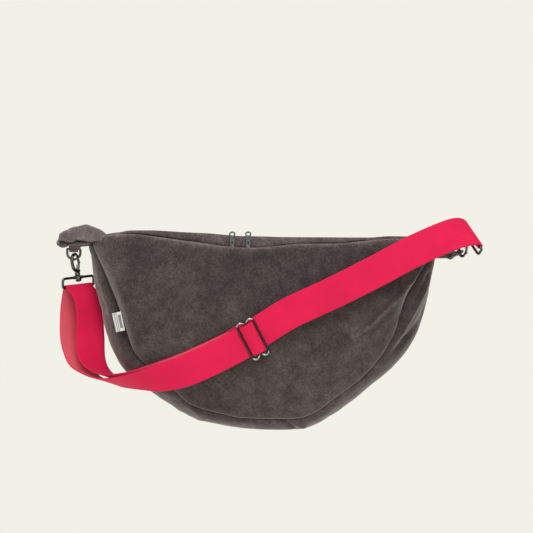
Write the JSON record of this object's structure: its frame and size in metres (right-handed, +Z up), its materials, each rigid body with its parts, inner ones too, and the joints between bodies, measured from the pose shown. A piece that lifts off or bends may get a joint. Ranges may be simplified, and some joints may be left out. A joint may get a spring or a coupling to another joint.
{
  "type": "crescent cross-body sling bag",
  "caption": "Half-moon cross-body bag with a zipped top, fabric end tabs with D-rings and a webbing strap on swivel snap hooks with a slide adjuster.",
  "frame": {"origin": "bottom centre of the whole object's bounding box, on the surface the bag stands on", "axes": "+X towards the bag's right end, along the zip; +Y towards the back; +Z up"},
  "size_m": [0.5298, 0.1332, 0.2691],
  "materials": {
    "suede": "dark warm grey brushed suede-like velour, matt with a soft sheen",
    "lining": "plain woven cotton lining",
    "webbing": "neon pink-red tightly woven webbing",
    "gunmetal": "polished black-nickel plating",
    "zip_metal": "satin greenish gunmetal plating",
    "tape": "woven zip tape",
    "coil": "nylon coil",
    "label": "off-white satin ribbon, blank"
  },
  "bodies": {
    "bag": {"front_panel": "suede", "back_panel": "suede", "gusset": "suede", "lining_front": "lining", "lining_back": "lining", "facing_front": "suede", "facing_back": "suede", "zip_tape_front": "tape", "zip_tape_back": "tape", "zip_coil_front": "coil", "zip_coil_back": "coil", "zip_stop_left": "zip_metal", "zip_stop_right": "zip_metal", "side_label": "label", "ear_tab_left": "suede", "ear_tab_right": "suede"},
    "slider_left": {"zip_slider_left": "zip_metal"},
    "slider_right": {"zip_slider_right": "zip_metal"},
    "pull_left": {"zip_pull_left": "zip_metal"},
    "pull_right": {"zip_pull_right": "zip_metal"},
    "ring_left": {"d_ring_left": "gunmetal", "tab_loop_left": "suede"},
    "ring_right": {"d_ring_right": "gunmetal", "tab_loop_right": "suede"},
    "strap": {"strap_main_run": "webbing", "strap_return_run": "webbing", "strap_wrap_left": "webbing", "strap_wrap_right": "webbing", "strap_bail_left": "gunmetal", "strap_bail_right": "gunmetal", "swivel_eye_left": "gunmetal", "swivel_eye_right": "gunmetal"},
    "adjuster": {"adjuster_frame": "gunmetal", "adjuster_middle_bar": "gunmetal", "strap_hump": "webbing", "strap_sewn_end": "webbing"},
    "hook_left": {"swivel_stem_left": "gunmetal", "hook_body_left": "gunmetal", "gate_pin_left": "gunmetal", "gate_spring_left": "gunmetal"},
    "hook_right": {"swivel_stem_right": "gunmetal", "hook_body_right": "gunmetal", "gate_pin_right": "gunmetal", "gate_spring_right": "gunmetal"},
    "gate_left": {"hook_gate_left": "gunmetal"},
    "gate_right": {"hook_gate_right": "gunmetal"}
  },
  "joints": [
    {"name": "strap_swing", "type": "hinge", "parent": "bag", "child": "strap", "pos_m": [-0.24485, 0.00845, 0.225], "axis": [-0.9998, -0.0053, 0.0169], "range_deg": [0, 80]},
    {"name": "ring_left_turn", "type": "hinge", "parent": "bag", "child": "ring_left", "pos_m": [-0.24485, 0.00845, 0.225], "axis": [-0.9998, -0.0053, 0.0169], "range_deg": [0, 80]},
    {"name": "ring_right_turn", "type": "hinge", "parent": "bag", "child": "ring_right", "pos_m": [0.22765, 0.01095, 0.217], "axis": [-0.9998, -0.0053, 0.0169], "range_deg": [0, 80]},
    {"name": "swivel_left", "type": "hinge", "parent": "strap", "child": "hook_left", "pos_m": [-0.23985, 0.01395, 0.1883], "axis": [-0.1555, -0.172, 0.9727], "range_deg": [-6, 40]},
    {"name": "swivel_right", "type": "hinge", "parent": "strap", "child": "hook_right", "pos_m": [0.24753, -0.01316, 0.23946], "axis": [-0.3268, 0.6577, -0.6787], "range_deg": [-10, 10]},
    {"name": "gate_left_open", "type": "hinge", "parent": "hook_left", "child": "gate_left", "pos_m": [-0.23959, 0.01508, 0.19677], "axis": [0.8499, -0.5252, 0.043], "range_deg": [0, 16], "stiffness_Nm_per_rad": 0.004, "springref_deg": -11.46},
    {"name": "gate_right_open", "type": "hinge", "parent": "hook_right", "child": "gate_right", "pos_m": [0.24611, -0.00956, 0.23184], "axis": [0.8567, 0.5094, 0.0811], "range_deg": [0, 16], "stiffness_Nm_per_rad": 0.004, "springref_deg": -11.46},
    {"name": "adjuster_slide", "type": "slide", "parent": "strap", "child": "adjuster", "axis": [0.8925, 0, 0.451], "range_m": [-0.03, 0.03]},
    {"name": "zip_left_slide", "type": "slide", "parent": "bag", "child": "slider_left", "axis": [-1, 0, 0], "range_m": [0, 0.092]},
    {"name": "zip_right_slide", "type": "slide", "parent": "bag", "child": "slider_right", "axis": [1, 0, 0], "range_m": [0, 0.162]},
    {"name": "pull_left_flip", "type": "hinge", "parent": "slider_left", "child": "pull_left", "pos_m": [-0.04685, 0.00755, 0.2302], "axis": [1, 0, 0], "range_deg": [0, 100]},
    {"name": "pull_right_flip", "type": "hinge", "parent": "slider_right", "child": "pull_right", "pos_m": [-0.02685, 0.00755, 0.2302], "axis": [1, 0, 0], "range_deg": [0, 100]}
  ],
  "couplings": [
    {"joint": "ring_left_turn", "follows": "strap_swing", "ratio": 1},
    {"joint": "ring_right_turn", "follows": "strap_swing", "ratio": 1}
  ]
}
